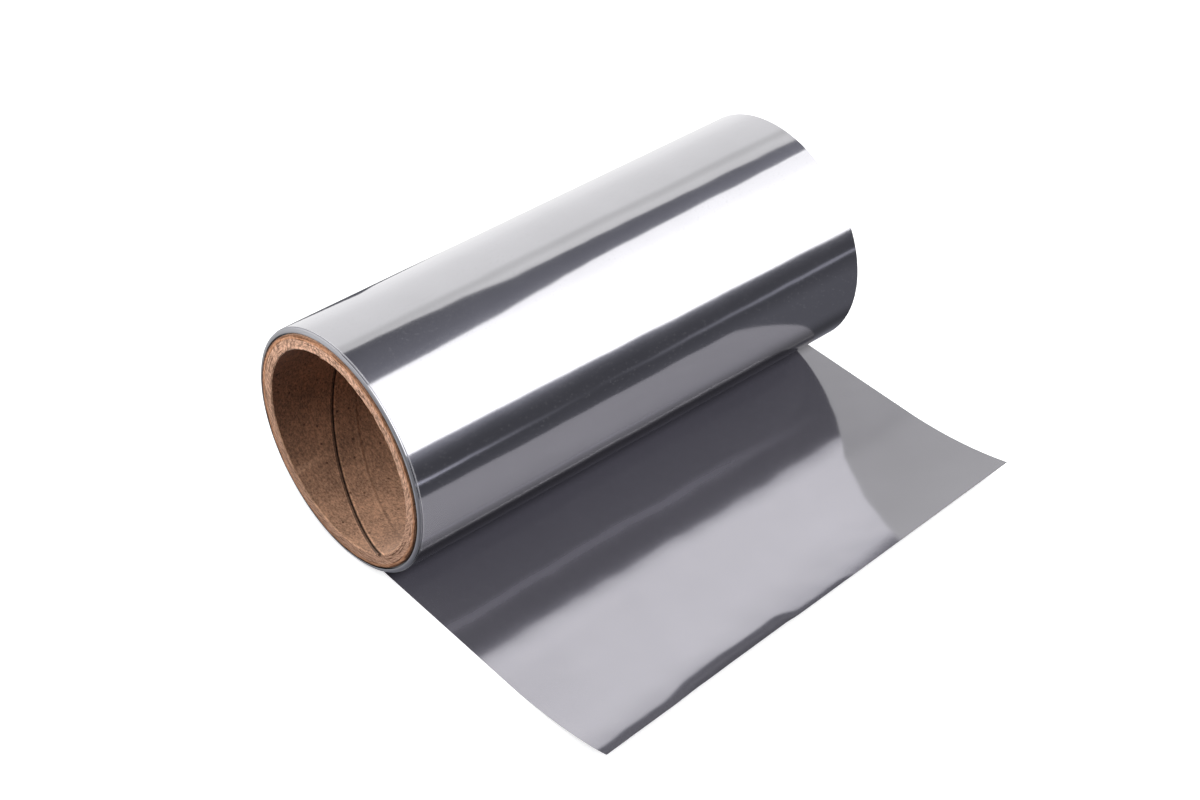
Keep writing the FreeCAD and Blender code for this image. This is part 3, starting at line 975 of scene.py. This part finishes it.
class Stage(bpy.types.Operator):
    """Set up the floor, the lights and the camera"""

    bl_idname = "collar_roll.stage"
    bl_label = "Stage"

    def execute(self, context):
        stage = context.scene.collar_stage
        scene = context.scene
        scene.view_settings.view_transform = "Standard"
        scene.view_settings.look = "None"
        scene.world = bpy.data.worlds.new("Studio")
        studio_world(scene.world)

        bm = bmesh.new()
        bmesh.ops.create_grid(bm, x_segments=1, y_segments=1, size=stage.floor_size / 2)
        bmesh.ops.translate(bm, verts=bm.verts[:], vec=(0, 0, CAD_BOX[0][2] - 0.05 * MM))
        table = table_material("Opal acrylic, lit", stage.floor, stage.table_light)
        floor = add_to_stage("floor", bm, table, ("glossy", "diffuse"))
        add_backdrop(stage)

        objects = bpy.data.objects
        roll = [objects["film_wound_turns"], objects["film_outermost_turn"]]
        free_end = [objects["film_free_end"]]
        # Share of each softbox's brightness that is kept, from its lower edge up
        upper = [(0.40, 0.95), (0.57, 0.72), (0.69, 0.62), (1.0, 0.55)]
        for name, brightness, lit, lower in (
                ("softbox", stage.softbox, roll + [floor],
                 [(0, 0.72), (0.06, 0.80), (0.13, 0.92), (0.20, 1.0)]),
                ("flagged softbox", stage.softbox * stage.flagged, free_end,
                 [(0, 0.80), (0.06, 0.86), (0.13, 1.0), (0.20, 1.05)])):
            softbox = add_light(name, brightness, (2.25, 1.04), (0.20, -0.60, 0.1675),
                                (0.979, 0, -0.2025), (0, 0.711, 0.704), lit)
            fade(softbox, lower + upper)
        fill = add_light("fill", stage.fill, (0.3, 0.3), (0, -0.23, 0.55), (1, 0, 0), (0, 1, 0),
                         free_end)
        fill.visible_glossy = False
        fill.data.color = (0.97, 0.94, 1.2)
        # Only the floor blocks it, so the roll casts no shadow on the free end
        blockers = bpy.data.collections.new("fill is blocked by")
        blockers.objects.link(floor)
        fill.light_linking.blocker_collection = blockers
        add_light("key", stage.key, (0.42, 0.42), (-0.607, 0.228, 0.127),
                  (-0.41, -0.912, 0), (0.515, -0.232, 0.826), [objects["core_kraft"]])
        add_card("black_card", [
            (-0.30, 0.417, 0.50), (-0.30, -0.228, 0.50), (0.21, -0.058, 0.50), (0.28, 0.0, 0.50),
            (0.36, 0.015, 0.50), (0.44, 0.03, 0.50), (0.676, 0.093, 0.50), (0.44, 0.168, 0.50),
            (0.36, 0.175, 0.50), (0.27, 0.18, 0.50), (0.21, 0.248, 0.50)],
            glowing_card_material("Black card", [(0, 0.10), (0.35, 0.155), (1, 0.44)],
                          ((0.27, -0.62, 0), -0.112, 0.2884)))
        low = CAD_BOX[0][2]
        add_card("back_card", [
            (-0.50, 0.05, low), (0.45, 0.05, low), (0.45, 0.112, low), (0.05, 0.13, low),
            (0.04, 0.21, low), (0.08, 0.31, low), (-0.06, 0.12, low), (-0.50, 0.12, low)],
            glowing_card_material("Grey card", [(0, 0.10), (1, 0.22)], ((1, 0, 0), 0.0, 0.3)))
        add_card("front_card", [
            (0.0, -0.33, low), (0.32, -0.34, low), (0.32, -0.27, low), (0.0, -0.275, low)],
            glowing_card_material("White card", [(0, 0.64), (0.10, 0.50), (0.27, 0.14), (0.45, 0.06),
                                         (0.62, 0.15), (1, 0.34)], ((1, 0, 0), 0.0, 0.30)))
        add_camera(stage)
        return {"FINISHED"}


# ---- Add-on ----

class CollarRollPanel(bpy.types.Panel):
    """Lists the pieces of the roll"""

    bl_idname = "VIEW3D_PT_collar_roll"
    bl_label = "Cake Collar Roll"
    bl_space_type = "VIEW_3D"
    bl_region_type = "UI"
    bl_category = "Collar Roll"

    def draw(self, context):
        for operator in PIECES:
            self.layout.operator(operator.bl_idname)


PIECES = (CoreTube, WoundTurns, OutermostTurn, FreeEnd, Stage)
SETTINGS = {"collar_core": CoreSettings, "collar_film": FilmSettings,
            "collar_stage": StageSettings}
CLASSES = (*SETTINGS.values(), *PIECES, CollarRollPanel)


def register():
    for cls in CLASSES:
        bpy.utils.register_class(cls)
    for name, group in SETTINGS.items():
        setattr(bpy.types.Scene, name, bpy.props.PointerProperty(type=group))


def unregister():
    for name in SETTINGS:
        delattr(bpy.types.Scene, name)
    for cls in reversed(CLASSES):
        bpy.utils.unregister_class(cls)


def main():
    register()
    bpy.ops.collar_roll.core_tube()
    bpy.ops.collar_roll.wound_turns()
    bpy.ops.collar_roll.outermost_turn()
    bpy.ops.collar_roll.free_end()
    bpy.ops.collar_roll.stage()


if __name__ == "__main__":
    main()
